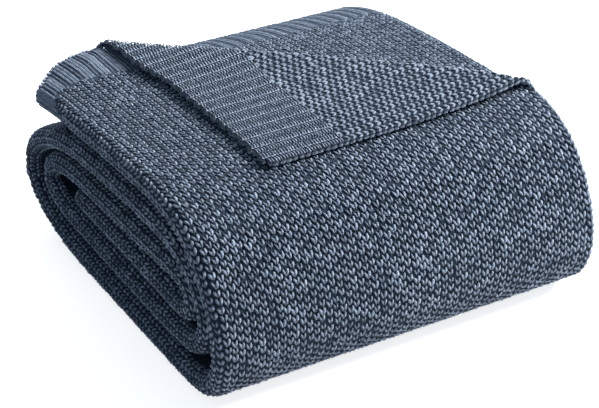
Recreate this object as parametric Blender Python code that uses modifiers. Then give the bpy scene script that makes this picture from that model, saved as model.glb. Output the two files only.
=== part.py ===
"""A heavy knit blanket, folded in four across its width, rolled flat along its length,
with one corner of its top ply turned back. Metres, +Z up, standing on z = 0.

The blanket is one piece of cloth. Its flat pattern is meshed first, in the cloth's own
coordinates: u runs across the width, s runs along the length from the outer ribbed end.
Every point of the pattern is then carried through the three folds that it really has:
the corner that is turned back, the four plies across the width, and the flat roll.
"""

import math
from collections import namedtuple

import bmesh
import bpy
import numpy as np
from mathutils import Vector
from mathutils.geometry import delaunay_2d_cdt

NAME = "blanket"

# The cloth
CLOTH_THICKNESS = 0.0032
STRIP_WIDTH = 0.306          # the cloth's width once it is folded in four
PLY_PITCH = 0.0048           # middle to middle of neighbouring plies
RIB_BORDER = 0.060           # depth of the ribbed border on the lower plies
RIB_HEIGHT = 0.0008

# The folds across the width
OUTER_FOLD = 1.5 * PLY_PITCH
RIGHT_FOLD = 1.0 * PLY_PITCH
INNER_FOLD = 0.5 * PLY_PITCH
RIGHT_FOLD_INSET = 0.002
INNER_EDGE_INSET = 0.003     # from the line where the right fold begins to the inner edge
ROLL_INSET = 0.008           # how far the left ends draw in towards the core of the roll

# The corner turned back, in the plan of the top ply
CREASE_SUM = 0.057           # x + y along the crease
APEX_X = -0.084
CREASE_RADIUS = 0.0046
APEX_RADIUS = 0.0034
APEX_FADE = 0.045            # distance along the crease over which its radius changes
FLAP_REST = 0.0054           # height of the flap over the ply that it lies on
FLAP_SETTLE = 0.030
FLAP_GIVE = 0.0145           # how much the turned-back knit stretches beside the crease
FLAP_GIVE_FADE = 0.040
TENT_HEIGHT = 0.0115         # the cloth stands up towards the apex like a low tent
TENT_WIDTH = 0.056
TENT_FADE = 0.035            # distance along the crease over which the tent comes down
TENT_START = 0.028           # distance from the left fold at which it has its full height
TENT_LEFT = 0.5              # share of its height at the left fold
APEX_SMOOTH = 0.040          # the ribs fade towards the apex over this width

# Density of the faces
ROW_LENGTH = 0.040
ROW_TURN = math.radians(20)
ROLL_STEPS = 4
CREASE_STEP = 0.030
CLEAR = 0.006                # least distance of a plain point from a crease line

Station = namedtuple("Station", "name y z")

# Middle of the folded strip, from its outer end on top of the pile to its inner end
STATIONS = (
    Station("outer end", 0.168, 0.102),
    Station("over the back", 0.140, 0.114),
    Station("top, back", 0.101, 0.1225),
    Station("top, middle", 0.026, 0.1275),
    Station("top, front", -0.049, 0.130),
    Station("front shoulder", -0.091, 0.129),
    Station("front brow", -0.122, 0.1185),
    Station("front, upper", -0.145, 0.094),
    Station("front belly", -0.1585, 0.062),
    Station("front, lower", -0.1585, 0.034),
    Station("front toe", -0.144, 0.012),
    Station("floor begins", -0.114, 0.0088),
    Station("floor, front", -0.089, 0.0088),
    Station("floor, middle", -0.020, 0.0088),
    Station("floor, back", 0.044, 0.0088),
    Station("floor ends", 0.064, 0.0088),
    Station("back heel", 0.088, 0.0105),
    Station("back, lower", 0.120, 0.017),
    Station("back, rising", 0.148, 0.031),
    Station("back tip", 0.155, 0.050),
    Station("back, upper", 0.140, 0.0725),
    Station("back shoulder", 0.107, 0.090),
    Station("second layer, back", 0.068, 0.099),
    Station("second layer, middle", -0.004, 0.103),
    Station("second layer, front", -0.059, 0.103),
    Station("second brow", -0.090, 0.101),
    Station("second face", -0.118, 0.090),
    Station("second belly", -0.133, 0.070),
    Station("second foot", -0.135, 0.049),
    Station("second toe", -0.122, 0.033),
    Station("third layer, front", -0.094, 0.0295),
    Station("third layer, middle", -0.024, 0.030),
    Station("third layer, back", 0.051, 0.0315),
    Station("third heel", 0.086, 0.0325),
    Station("third, rising", 0.108, 0.0355),
    Station("third tip, low", 0.123, 0.044),
    Station("third tip, high", 0.123, 0.056),
    Station("third shoulder", 0.110, 0.0665),
    Station("fourth layer, back", 0.088, 0.072),
    Station("fourth layer, middle", 0.061, 0.074),
    Station("fourth layer, front", -0.004, 0.075),
    Station("fourth ear", -0.064, 0.075),
    Station("fourth brow", -0.088, 0.076),
    Station("fourth face", -0.102, 0.0755),
    Station("fourth tip, high", -0.112, 0.068),
    Station("fourth tip, low", -0.112, 0.0575),
    Station("fourth toe", -0.102, 0.050),
    Station("fifth ear", -0.088, 0.0495),
    Station("fifth layer, front", -0.064, 0.0505),
    Station("fifth layer, middle", -0.004, 0.0525),
    Station("inner end", 0.072, 0.053),
)
ROLL_SAMPLE = 0.001
ROLL_SMOOTHING = 40

# The underside stands on its corners and hollows by a hair between them
FLOOR_HOLLOW = 0.0001
FLOOR_MIDDLE = -0.019
FLOOR_HALF_DEPTH = 0.060

Ply = namedtuple("Ply", "name level left_end right_end ribs lines")

# The plies in the order in which the cloth runs through them, with the y at which the
# left and right side of each one ends on top of the pile, and the ribs that show there
TOP = Ply("top", 1.5, 0.119, 0.134, 24, 8)
BOTTOM = Ply("bottom", -1.5, 0.113, 0.158, 0, 3)
SECOND = Ply("second", 0.5, 0.140, 0.168, 30, 5)
THIRD = Ply("third", -0.5, 0.140, 0.158, 0, 3)

EndPoint = namedtuple("EndPoint", "name x y border")

# The outer end of the top ply before its corner is turned back, and its border's depth
TOP_END = (
    EndPoint("left fold", -0.1458, 0.119, 0.028),
    EndPoint("left, near the fold", -0.1410, 0.124, 0.032),
    EndPoint("left, middle", -0.129, 0.134, 0.039),
    EndPoint("left, rising", -0.114, 0.140, 0.045),
    EndPoint("left of the apex", -0.098, 0.1445, 0.050),
    EndPoint("apex", -0.084, 0.1455, 0.054),
    EndPoint("right of the apex", -0.033, 0.1415, 0.060),
    EndPoint("middle", 0.012, 0.134, 0.060),
    EndPoint("selvage", 0.153, 0.134, 0.060),
)
ROOT2 = math.sqrt(2)


def resample(path, step):
    """The same path with points an even distance apart, and that distance run along it."""
    run = np.concatenate([[0], np.cumsum(np.linalg.norm(np.diff(path, axis=0), axis=1))])
    even = np.linspace(0, run[-1], int(round(run[-1] / step)) + 1)
    points = np.stack([np.interp(even, run, path[:, axis]) for axis in (0, 1)], axis=1)
    return points, even


def roll_path():
    """Cubic B-spline through the stations, eased so that no turn is tighter than cloth allows."""
    knots = np.array([(station.y, station.z) for station in STATIONS])
    knots = np.vstack([2 * knots[0] - knots[1], knots, 2 * knots[-1] - knots[-2]])
    spans = []
    for p0, p1, p2, p3 in zip(knots, knots[1:], knots[2:], knots[3:]):
        count = max(2, int(np.linalg.norm(p2 - p1) / ROLL_SAMPLE * 2))
        t = np.linspace(0, 1, count, endpoint=False)[:, None]
        weights = ((1 - t) ** 3, 3 * t**3 - 6 * t**2 + 4, -3 * t**3 + 3 * t**2 + 3 * t + 1, t**3)
        spans.append(sum(w * p for w, p in zip(weights, (p0, p1, p2, p3))) / 6)
    spans.append(knots[-2:-1])
    path, _ = resample(np.vstack(spans), ROLL_SAMPLE)
    for _ in range(ROLL_SMOOTHING):
        path[1:-1] = 0.25 * path[:-2] + 0.5 * path[1:-1] + 0.25 * path[2:]
    return resample(path, ROLL_SAMPLE)


class Roll:
    """The middle line of the strip in the upright plane, by the distance run along it."""

    def __init__(self):
        self.path, self.run = roll_path()
        tangent = np.gradient(self.path, axis=0)
        tangent /= np.linalg.norm(tangent, axis=1)[:, None]
        self.outward = np.stack([tangent[:, 1], -tangent[:, 0]], axis=1)
        self.heading = np.unwrap(np.arctan2(tangent[:, 1], tangent[:, 0]))
        self.length = self.run[-1]

    def at(self, s, level):
        """Point of the upright plane at a distance s along the roll, at a level in the strip."""
        middle = [np.interp(s, self.run, self.path[:, axis]) for axis in (0, 1)]
        outward = [np.interp(s, self.run, self.outward[:, axis]) for axis in (0, 1)]
        size = math.hypot(*outward)
        return [m + level * o / size for m, o in zip(middle, outward)]

    def rows(self):
        """Places of the rows of points: close together on the turns, wide apart on the runs."""
        bend = np.abs(np.gradient(self.heading, self.run)) / ROW_TURN
        density = np.maximum(bend, 1 / ROW_LENGTH)
        steps = 0.5 * (density[1:] + density[:-1]) * np.diff(self.run)
        measure = np.concatenate([[0], np.cumsum(steps)])
        count = int(math.ceil(measure[-1]))
        return np.interp(np.linspace(0, measure[-1], count + 1), measure, self.run)


class Section:
    """The four plies as one path across the width: u to x and level, with its fold lines."""

    def __init__(self):
        right = STRIP_WIDTH / 2
        left_x = -right + OUTER_FOLD
        right_x = right - RIGHT_FOLD_INSET - RIGHT_FOLD
        self.points = []
        top = self.flat(TOP, right, left_x)
        self.turn(left_x, 0, OUTER_FOLD, 90, 270, 6, TOP.left_end, BOTTOM.left_end)
        self.flat(BOTTOM, left_x, right_x)
        self.turn(right_x, -INNER_FOLD, RIGHT_FOLD, -90, 90, 5, BOTTOM.right_end, SECOND.right_end)
        second = self.flat(SECOND, right_x, left_x)
        self.turn(left_x, 0, INNER_FOLD, 90, 270, 4, SECOND.left_end, THIRD.left_end)
        self.flat(THIRD, left_x, right_x - INNER_EDGE_INSET)
        self.x, self.level, self.end = np.array(self.points).T
        self.u = np.concatenate([[0], np.cumsum(np.hypot(np.diff(self.x), np.diff(self.level)))])
        self.width = self.u[-1]
        self.top = [self.u[k] for k in top]
        self.second = [self.u[k] for k in second]

    def flat(self, ply, start, stop):
        """Points along a ply, whose ribbed end is square but for its left part."""
        span = STRIP_WIDTH
        first = len(self.points)
        for x in np.linspace(start, stop, ply.lines + 1):
            share = min(1, max(0, (x + span / 2) / (span / 2 if ply.ribs else span)))
            end = ply.left_end + share * (ply.right_end - ply.left_end)
            self.add(x, ply.level * PLY_PITCH, end)
        return first, len(self.points) - 1

    def turn(self, x, level, radius, start, stop, steps, end_from, end_to):
        """Points round a fold, its first and last ones left to the plies that it joins."""
        for step in range(1, steps):
            share = step / steps
            angle = math.radians(start + share * (stop - start))
            end = end_from + share * (end_to - end_from)
            self.add(x + radius * math.cos(angle), level + radius * math.sin(angle), end)

    def add(self, x, level, end):
        self.points.append((x, level, end))

    def at(self, u):
        return np.interp(u, self.u, self.x), np.interp(u, self.u, self.level)

    def end_at(self, u):
        return np.interp(u, self.u, self.end)


class Corner:
    """The turned-back corner, worked out in the plan of the top ply."""

    def place(self, x, y):
        """Distance beyond the crease, and distance along it from the apex."""
        beyond = (x + y - CREASE_SUM) / ROOT2
        along = (x - y - 2 * APEX_X + CREASE_SUM) / ROOT2
        return beyond, along

    def radius(self, along):
        return CREASE_RADIUS + (APEX_RADIUS - CREASE_RADIUS) * math.exp(-max(along, 0) / APEX_FADE)

    def fold(self, x, y):
        """Plan position and rise over the top ply of a point of the flat top ply."""
        beyond, along = self.place(x, y)
        rise = 0
        shift = beyond
        if beyond > 0:
            radius = self.radius(along)
            half_turn = math.pi * radius
            if beyond < half_turn:
                angle = beyond / radius
                shift = radius * math.sin(angle)
                rise = radius * (1 - math.cos(angle))
            else:
                shift = half_turn - beyond
                settle = math.exp(shift / FLAP_SETTLE)
                rise = FLAP_REST + (2 * radius - FLAP_REST) * settle
                shift -= FLAP_GIVE * (1 - math.exp(shift / FLAP_GIVE_FADE))
        x += (shift - beyond) / ROOT2
        y += (shift - beyond) / ROOT2
        return x, y, rise + self.tent(x, y)

    def tent(self, x, y):
        """How high the cloth stands at a point of the plan, with its corner turned back."""
        beyond, along = self.place(x, y)
        across = math.exp(-((beyond / TENT_WIDTH) ** 2))
        down = math.exp(-max(0, along) / TENT_FADE)
        part = min(1, max(0, (x + STRIP_WIDTH / 2 - OUTER_FOLD) / TENT_START))
        part = TENT_LEFT + (1 - TENT_LEFT) * part * part * (3 - 2 * part)
        return TENT_HEIGHT * across * down * part

    def flat_point(self, beyond, along):
        """Plan position on the flat ply of a point given by its place at the crease."""
        total = beyond * ROOT2 + CREASE_SUM
        difference = along * ROOT2 + 2 * APEX_X - CREASE_SUM
        return (total + difference) / 2, (total - difference) / 2


class Blanket:
    """The folded cloth: its flat pattern, and where each point of the pattern goes."""

    def __init__(self):
        self.roll = Roll()
        self.section = Section()
        self.corner = Corner()
        self.start = STATIONS[0].y
        self.top_width = self.section.top[1]
        self.left_fold_end = self.top_width + math.pi * OUTER_FOLD

    def end(self, u):
        """Distance along the roll at which the cloth's outer end lies."""
        if u < self.top_width:
            return self.start - self.along_top_end(u, [point.y for point in TOP_END])
        return self.start - self.section.end_at(u)

    def border(self, u):
        """Depth of the ribbed border."""
        if u < self.top_width:
            return self.along_top_end(u, [point.border for point in TOP_END])
        return RIB_BORDER

    def along_top_end(self, u, values):
        return np.interp(STRIP_WIDTH / 2 - u, [point.x for point in TOP_END], values)

    def rib(self, u, s):
        """Height of the ribbed border's corrugation."""
        depth = 1 - (s - self.end(u)) / self.border(u)
        if depth <= 0:
            return 0
        height = RIB_HEIGHT * min(1, 3 * depth)
        if u < self.top_width:
            height *= min(1, abs(STRIP_WIDTH / 2 - u - APEX_X) / APEX_SMOOTH)
            return height * math.cos(2 * math.pi * u / (STRIP_WIDTH / TOP.ribs))
        if self.section.second[0] < u < self.section.second[1]:
            across = u - self.section.second[0]
            return height * math.cos(2 * math.pi * across / (STRIP_WIDTH / SECOND.ribs))
        return 0

    def hollow(self, x, y, z):
        """How far a point of the outer ply on the floor is raised."""
        if z > PLY_PITCH / 2:
            return 0
        across = x / (STRIP_WIDTH / 2)
        along = (y - FLOOR_MIDDLE) / FLOOR_HALF_DEPTH
        return FLOOR_HOLLOW * max(0, 1 - across**2 / 2 - along**2 / 2)

    def folded(self, u, s):
        """The point of space to which the folds carry the point (u, s) of the flat cloth."""
        x, level = self.section.at(u)
        level += self.rib(u, s)
        if u < self.top_width:
            x, y, rise = self.corner.fold(x, self.start - s)
            s = self.start - y
            level += rise
        elif u < self.left_fold_end:
            share = (self.left_fold_end - u) / (self.left_fold_end - self.top_width)
            left_x = OUTER_FOLD - STRIP_WIDTH / 2
            level += share * share * self.corner.tent(left_x, self.start - s)
        y, z = self.roll.at(s, level)
        z += self.hollow(x, y, z)
        right = STRIP_WIDTH / 2
        drawn_in = 1 - ROLL_INSET / STRIP_WIDTH * s / self.roll.length
        return Vector((right + (x - right) * drawn_in, y, z))

    def crease_lines(self):
        """Lines along the crease on the flat ply, one for each step round its roll."""
        lines = []
        for step in range(ROLL_STEPS + 1):
            line = []
            along = 0
            while True:
                beyond = step / ROLL_STEPS * math.pi * self.corner.radius(along)
                x, y = self.corner.flat_point(beyond, along)
                if x >= STRIP_WIDTH / 2:
                    break
                if self.start - y > self.end(STRIP_WIDTH / 2 - x) + 0.002:
                    line.append((STRIP_WIDTH / 2 - x, self.start - y))
                along += CREASE_STEP if line else 0.002
            lines.append(line)
        return lines

    def clear_of_crease(self, u, s):
        if u >= self.top_width:
            return True
        beyond, along = self.corner.place(STRIP_WIDTH / 2 - u, self.start - s)
        return not -CLEAR < beyond < math.pi * self.corner.radius(along) + CLEAR

    def end_points(self):
        """Points along the outer end: each crest and hollow of the ribs, and the fold lines."""
        points = []
        previous = -1
        for ply, (first, last) in ((TOP, self.section.top), (SECOND, self.section.second)):
            half_rib = STRIP_WIDTH / ply.ribs / 2
            points += [u for u in self.section.u if previous < u < first]
            points += [first + step * half_rib for step in range(int((last - first) / half_rib))]
            previous = last - 0.001
        return points + [u for u in self.section.u if u > previous]

    def pattern(self):
        """Points and outline of the flat cloth, with the lines that its faces keep to."""
        rows = self.roll.rows()
        ends = self.end_points()
        points = [(u, self.end(u)) for u in ends]
        side_rows = [s for s in rows if s > self.end(self.section.width) + 0.010]
        points += [(self.section.width, s) for s in side_rows]
        points += [(u, rows[-1]) for u in reversed(self.section.u[1:-1])]
        side_rows = [s for s in rows if s > self.end(0) + 0.010]
        points += [(0.0, s) for s in reversed(side_rows)]
        outline = list(range(len(points)))
        edges = []
        for line in self.crease_lines():
            first = len(points)
            points += line
            edges += [(first + k, first + k + 1) for k in range(len(line) - 1)]
        for u in ends[1:-1]:
            for share in (0.5, 1.0):
                s = self.end(u) + share * self.border(u)
                if self.clear_of_crease(u, s):
                    points.append((u, s))
        for s in rows[:-1]:
            for u in self.section.u[1:-1]:
                if s > self.end(u) + self.border(u) + 0.012 and self.clear_of_crease(u, s):
                    points.append((u, s))
        second_first, second_last = self.section.second
        for u in self.section.u[1:-1]:
            if u > self.top_width - 0.001 and not second_first < u < second_last:
                line = [k for k, point in enumerate(points) if point[0] == u]
                line.sort(key=lambda k: points[k][1])
                edges += list(zip(line, line[1:]))
        return points, edges, outline

    def on_cloth(self, corners):
        """Whether a face of the pattern lies within the cloth's uneven outer end."""
        u, s = sum(corners, Vector((0, 0))) / len(corners)
        return s > self.end(u)

    def mesh(self):
        points, edges, outline = self.pattern()
        flat, _, faces, *_ = delaunay_2d_cdt(
            [Vector(point) for point in points], edges, [outline], 1, 1e-6, False
        )
        faces = [face for face in faces if self.on_cloth([flat[k] for k in face])]
        mesh = bpy.data.meshes.new(NAME)
        mesh.from_pydata([self.folded(u, s) for u, s in flat], [], faces)
        mesh.validate()
        return mesh


def knit_material():
    material = bpy.data.materials.new("slate blue knit")
    material.use_nodes = True
    shader = material.node_tree.nodes["Principled BSDF"]
    shader.inputs["Base Color"].default_value = (0.118, 0.165, 0.225, 1)
    shader.inputs["Roughness"].default_value = 0.92
    shader.inputs["Metallic"].default_value = 0
    return material


def stand_on_floor(thing):
    """Centre the blanket over the origin, with its underside on z = 0."""
    bpy.context.view_layer.update()
    evaluated = thing.evaluated_get(bpy.context.evaluated_depsgraph_get())
    corners = np.array([corner[:] for corner in evaluated.bound_box])
    low = corners.min(axis=0)
    high = corners.max(axis=0)
    middle = (low + high) / 2
    thing.location = (-middle[0], -middle[1], -low[2])


def build():
    for thing in list(bpy.data.objects):
        bpy.data.objects.remove(thing, do_unlink=True)
    collection = bpy.data.collections.new("knit blanket")
    bpy.context.scene.collection.children.link(collection)
    blanket = bpy.data.objects.new(NAME, Blanket().mesh())
    collection.objects.link(blanket)
    blanket.data.materials.append(knit_material())
    blanket.data.shade_smooth()
    cloth = blanket.modifiers.new("cloth thickness", "SOLIDIFY")
    cloth.thickness = CLOTH_THICKNESS
    cloth.offset = 0
    cloth.use_even_offset = False
    stand_on_floor(blanket)


build()
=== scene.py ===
"""Knit blanket, folded in four across its width and rolled flat, one corner turned back.

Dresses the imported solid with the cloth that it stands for: a thin sheet on the same folds,
moss stitches, ribbed borders, the ladder that shows on their reverse, and beaded edges.
Every piece is laid out flat first, in the cloth's own coordinates, and then folded: u runs
across the cloth from its right edge, s runs along it from its outer end. Metres, +Z up.
"""

import math
from collections import namedtuple

import bpy
import numpy as np
from bpy.props import FloatProperty, FloatVectorProperty, IntProperty, PointerProperty
from mathutils import Matrix, Vector


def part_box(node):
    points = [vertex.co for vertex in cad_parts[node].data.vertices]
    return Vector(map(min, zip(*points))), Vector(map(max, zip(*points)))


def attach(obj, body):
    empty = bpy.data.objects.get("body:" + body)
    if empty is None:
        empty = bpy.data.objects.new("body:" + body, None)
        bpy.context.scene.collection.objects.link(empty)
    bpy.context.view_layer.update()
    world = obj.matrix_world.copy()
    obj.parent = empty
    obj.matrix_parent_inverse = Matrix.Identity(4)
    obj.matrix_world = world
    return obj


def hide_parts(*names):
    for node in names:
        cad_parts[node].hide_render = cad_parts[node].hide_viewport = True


bl_info = {
    "name": "Folded knit blanket",
    "version": (1, 0, 0),
    "blender": (4, 5, 0),
    "location": "View3D > Sidebar > Blanket",
    "description": "Sheet, moss stitch, ribs and edges of a folded knit blanket",
    "category": "Object",
}

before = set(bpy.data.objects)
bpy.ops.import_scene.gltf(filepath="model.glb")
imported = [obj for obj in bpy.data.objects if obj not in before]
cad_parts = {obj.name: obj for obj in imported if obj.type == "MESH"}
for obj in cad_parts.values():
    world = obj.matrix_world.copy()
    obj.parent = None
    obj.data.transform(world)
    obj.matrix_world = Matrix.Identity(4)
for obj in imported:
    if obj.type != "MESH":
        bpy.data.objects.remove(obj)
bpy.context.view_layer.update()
NODE = "blanket"
BODY = "root"

Station = namedtuple("Station", "name y z")

# Middle of the folded strip, from its outer end on top of the pile to its inner end
STATIONS = (
    Station("outer end", 0.168, 0.102),
    Station("over the back", 0.140, 0.114),
    Station("top, back", 0.101, 0.1225),
    Station("top, middle", 0.026, 0.1275),
    Station("top, front", -0.049, 0.130),
    Station("front shoulder", -0.091, 0.129),
    Station("front brow", -0.122, 0.1185),
    Station("front, upper", -0.145, 0.094),
    Station("front belly", -0.1585, 0.062),
    Station("front, lower", -0.1585, 0.034),
    Station("front toe", -0.144, 0.012),
    Station("floor begins", -0.114, 0.0088),
    Station("floor, front", -0.089, 0.0088),
    Station("floor, middle", -0.020, 0.0088),
    Station("floor, back", 0.044, 0.0088),
    Station("floor ends", 0.064, 0.0088),
    Station("back heel", 0.088, 0.0105),
    Station("back, lower", 0.120, 0.017),
    Station("back, rising", 0.148, 0.031),
    Station("back tip", 0.155, 0.050),
    Station("back, upper", 0.140, 0.0725),
    Station("back shoulder", 0.107, 0.090),
    Station("second layer, back", 0.068, 0.099),
    Station("second layer, middle", -0.004, 0.103),
    Station("second layer, front", -0.059, 0.103),
    Station("second brow", -0.090, 0.101),
    Station("second face", -0.118, 0.090),
    Station("second belly", -0.133, 0.070),
    Station("second foot", -0.135, 0.049),
    Station("second toe", -0.122, 0.033),
    Station("third layer, front", -0.094, 0.0295),
    Station("third layer, middle", -0.024, 0.030),
    Station("third layer, back", 0.051, 0.0315),
    Station("third heel", 0.086, 0.0325),
    Station("third, rising", 0.108, 0.0355),
    Station("third tip, low", 0.123, 0.044),
    Station("third tip, high", 0.123, 0.056),
    Station("third shoulder", 0.110, 0.0665),
    Station("fourth layer, back", 0.088, 0.072),
    Station("fourth layer, middle", 0.061, 0.074),
    Station("fourth layer, front", -0.004, 0.075),
    Station("fourth ear", -0.064, 0.075),
    Station("fourth brow", -0.088, 0.076),
    Station("fourth face", -0.102, 0.0755),
    Station("fourth tip, high", -0.112, 0.068),
    Station("fourth tip, low", -0.112, 0.0575),
    Station("fourth toe", -0.102, 0.050),
    Station("fifth ear", -0.088, 0.0495),
    Station("fifth layer, front", -0.064, 0.0505),
    Station("fifth layer, middle", -0.004, 0.0525),
    Station("inner end", 0.072, 0.053),
)

EndPoint = namedtuple("EndPoint", "name x y border")

# The outer end of the top ply before its corner is turned back, and its border's depth
TOP_END = (
    EndPoint("left fold", -0.1458, 0.114, 0.026),
    EndPoint("left, near the fold", -0.1410, 0.1225, 0.031),
    EndPoint("left, middle", -0.129, 0.134, 0.039),
    EndPoint("left, rising", -0.114, 0.140, 0.045),
    EndPoint("left of the apex", -0.098, 0.1445, 0.050),
    EndPoint("apex", -0.084, 0.1455, 0.054),
    EndPoint("right of the apex", -0.033, 0.1415, 0.060),
    EndPoint("middle", 0.012, 0.134, 0.060),
    EndPoint("near the selvage", 0.146, 0.134, 0.060),
    EndPoint("selvage", 0.153, 0.1295, 0.056),
)

Ply = namedtuple("Ply", "level left_end right_end slant")

# Each ply's level in pitches, the y at which its left and right side end on top of the
# pile, and the share of the width over which its end slants
PLIES = {
    "top": Ply(1.5, 0.114, 0.134, 0.5),
    "bottom": Ply(-1.5, 0.108, 0.158, 1.0),
    "second": Ply(0.5, 0.102, 0.168, 0.5),
    "third": Ply(-0.5, 0.102, 0.158, 1.0),
}
ROLL_SAMPLE = 0.001
ROLL_SMOOTHING = 40
ROOT2 = math.sqrt(2)
STEP = 0.0003                # distance over which the cloth's slope is measured
SEATED = 0.9                 # length from the outer end that holds the roll's whole box
SEAT_POINTS = 400            # each way over that length
FLOOR_CLEAR = 0.0001         # least height of a point over the floor


def length(name, default, description):
    return FloatProperty(name=name, description=description, default=default,
                         subtype="DISTANCE", unit="LENGTH", precision=4)


def share(name, default, description):
    return FloatProperty(name=name, description=description, default=default, min=0, max=1)


def colour(name, default, description):
    return FloatVectorProperty(name=name, description=description, default=default,
                               subtype="COLOR", size=3, min=0, max=1)


class BlanketFolds(bpy.types.PropertyGroup):
    """Sizes of the folds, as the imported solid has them."""

    strip_width: length("Strip width", 0.306, "Width of the cloth once it is folded in four")
    ply_pitch: length("Ply pitch", 0.0048, "Middle to middle of neighbouring plies")
    solid_thickness: length("Solid thickness", 0.0032, "Thickness of the cloth in the solid")
    right_inset: length("Right fold inset", 0.002, "How far the right fold stays in")
    inner_inset: length("Inner edge inset", 0.003, "From the right fold to the inner edge")
    roll_inset: length("Roll inset", 0.008, "How far the left ends draw in at the core")
    crease_sum: length("Crease", 0.057, "x + y along the crease of the turned-back corner")
    crease_radius: length("Crease radius", 0.0046, "Radius of the turned-back corner's roll")
    apex_x: length("Apex", -0.084, "Where the crease meets the cloth's end")
    apex_radius: length("Apex radius", 0.0034, "Radius of that roll at its end")
    apex_fade: length("Apex fade", 0.045, "Distance over which the roll's radius changes")
    flap_rest: length("Flap rest", 0.0054, "Height of the flap over the ply beneath it")
    flap_settle: length("Flap settle", 0.030, "Distance over which the flap comes down")
    flap_give: length("Flap give", 0.0145, "How much the knit stretches beside the crease")
    flap_give_fade: length("Flap give fade", 0.040, "Distance over which it does")
    tent_height: length("Tent height", 0.0115, "How high the cloth stands at the apex")
    tent_width: length("Tent width", 0.056, "Half the tent's width, across the crease")
    tent_fade: length("Tent fade", 0.035, "Distance along the crease over which it comes down")
    tent_start: length("Tent start", 0.028, "Distance from the left fold at which it stands up")
    tent_left: share("Tent, left", 0.5, "Share of its height at the left fold")
    scallop: length("Scallop", 0.0008, "How far the top ply's end waves with its ribs")
    rib_border: length("Rib border", 0.060, "Depth of the ribbed border on the lower plies")


class BlanketKnit(bpy.types.PropertyGroup):
    """Sizes of the knit."""

    sheet_thickness: length("Sheet thickness", 0.0012, "Thickness of the ground of the knit")
    column_right: length("Column pitch, right", 0.0060, "Pitch of the columns at the edge")
    column_left: length("Column pitch, left", 0.0050, "Pitch of the columns at the fold")
    stitch_pitch: length("Stitch pitch", 0.0051, "Pitch of the stitches in a column")
    leg_radius: length("Leg radius", 0.00105, "Radius of one leg of a stitch")
    leg_height: length("Leg height", 0.00085, "Height of a leg's middle over the sheet's")
    course_pitch: length("Rib course pitch", 0.0022, "Pitch of the courses in the ribs")
    top_ribs: IntProperty(name="Ribs, top ply", description="Ribs across the strip's width",
                          default=24, min=4)
    second_ribs: IntProperty(name="Ribs, second ply", description="Ribs across the width",
                             default=30, min=4)
    jitter: share("Unevenness", 0.07, "How far each stitch strays, as a share of its size")
    lumps: length("Lumps", 0.00014, "How far the yarn's outline strays from a smooth tube")
    seed: IntProperty(name="Seed", description="Seed of the unevenness", default=7)


class BlanketYarn(bpy.types.PropertyGroup):
    """Colours and finish of the yarn, with the deep navy of its painted shade."""

    # Deep navy is the colour of the painted shade in the knit's hollows and grooves
    painted_shade: colour("Deep navy", (0.002, 0.012, 0.030), "Painted shade in the hollows of the knit")
    slate: colour("Slate blue", (0.062, 0.115, 0.195), "The yarn's main colour")
    pale: colour("Pale grey blue", (0.55, 0.64, 0.79), "The palest fibres")
    roughness: share("Roughness", 0.86, "Roughness of the yarn")
    sheen: share("Sheen", 0.25, "Soft sheen of the fibres")


class BlanketStage(bpy.types.PropertyGroup):
    """Camera, lights and surroundings."""

    focal: FloatProperty(name="Lens", description="Focal length in mm", default=108.2)
    azimuth: FloatProperty(name="Azimuth", description="Degrees from straight on",
                           default=-30.6)
    elevation: FloatProperty(name="Elevation", description="Degrees above the horizon",
                             default=29.9)
    distance: length("Distance", 1.296, "Camera to the point that it is aimed at")
    aim: FloatVectorProperty(name="Aim", description="Point that the camera is aimed at",
                             default=(0.006, -0.064, 0.07), subtype="TRANSLATION", size=3)
    slide: FloatVectorProperty(name="Slide", description="Camera's move, right and up",
                               default=(-0.033, 0.001), size=2)
    air: colour("Surroundings' colour", (0.60, 0.79, 1.0), "Light that comes from all round")
    paper: colour("Backdrop", (0.90, 0.90, 0.90), "Floor and backdrop")
    glow: share("Backdrop glow", 0.8, "How far the camera sees the backdrop lit from behind")
    key: FloatProperty(name="Key light", description="Power in watts", default=84.0)
    fill: FloatProperty(name="Back light", description="Power in watts", default=14.0)
    sky: FloatProperty(name="Surroundings", description="Strength of the pale surroundings",
                       default=0.285)


def folds():
    return bpy.context.scene.blanket_folds


def knit():
    return bpy.context.scene.blanket_knit


def resample(path, step):
    """The same path with points an even distance apart, and the distance run along it."""
    run = np.concatenate([[0], np.cumsum(np.linalg.norm(np.diff(path, axis=0), axis=1))])
    even = np.linspace(0, run[-1], int(round(run[-1] / step)) + 1)
    points = np.stack([np.interp(even, run, path[:, axis]) for axis in (0, 1)], axis=1)
    return points, even


def roll_path():
    """Cubic B-spline through the stations, eased so that no turn is too tight for cloth."""
    knots = np.array([(station.y, station.z) for station in STATIONS])
    knots = np.vstack([2 * knots[0] - knots[1], knots, 2 * knots[-1] - knots[-2]])
    spans = []
    for p0, p1, p2, p3 in zip(knots, knots[1:], knots[2:], knots[3:]):
        count = max(2, int(np.linalg.norm(p2 - p1) / ROLL_SAMPLE * 2))
        t = np.linspace(0, 1, count, endpoint=False)[:, None]
        weights = ((1 - t) ** 3, 3 * t**3 - 6 * t**2 + 4, -3 * t**3 + 3 * t**2 + 3 * t + 1, t**3)
        spans.append(sum(w * p for w, p in zip(weights, (p0, p1, p2, p3))) / 6)
    spans.append(knots[-2:-1])
    path, _ = resample(np.vstack(spans), ROLL_SAMPLE)
    for _ in range(ROLL_SMOOTHING):
        path[1:-1] = 0.25 * path[:-2] + 0.5 * path[1:-1] + 0.25 * path[2:]
    return resample(path, ROLL_SAMPLE)


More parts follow.
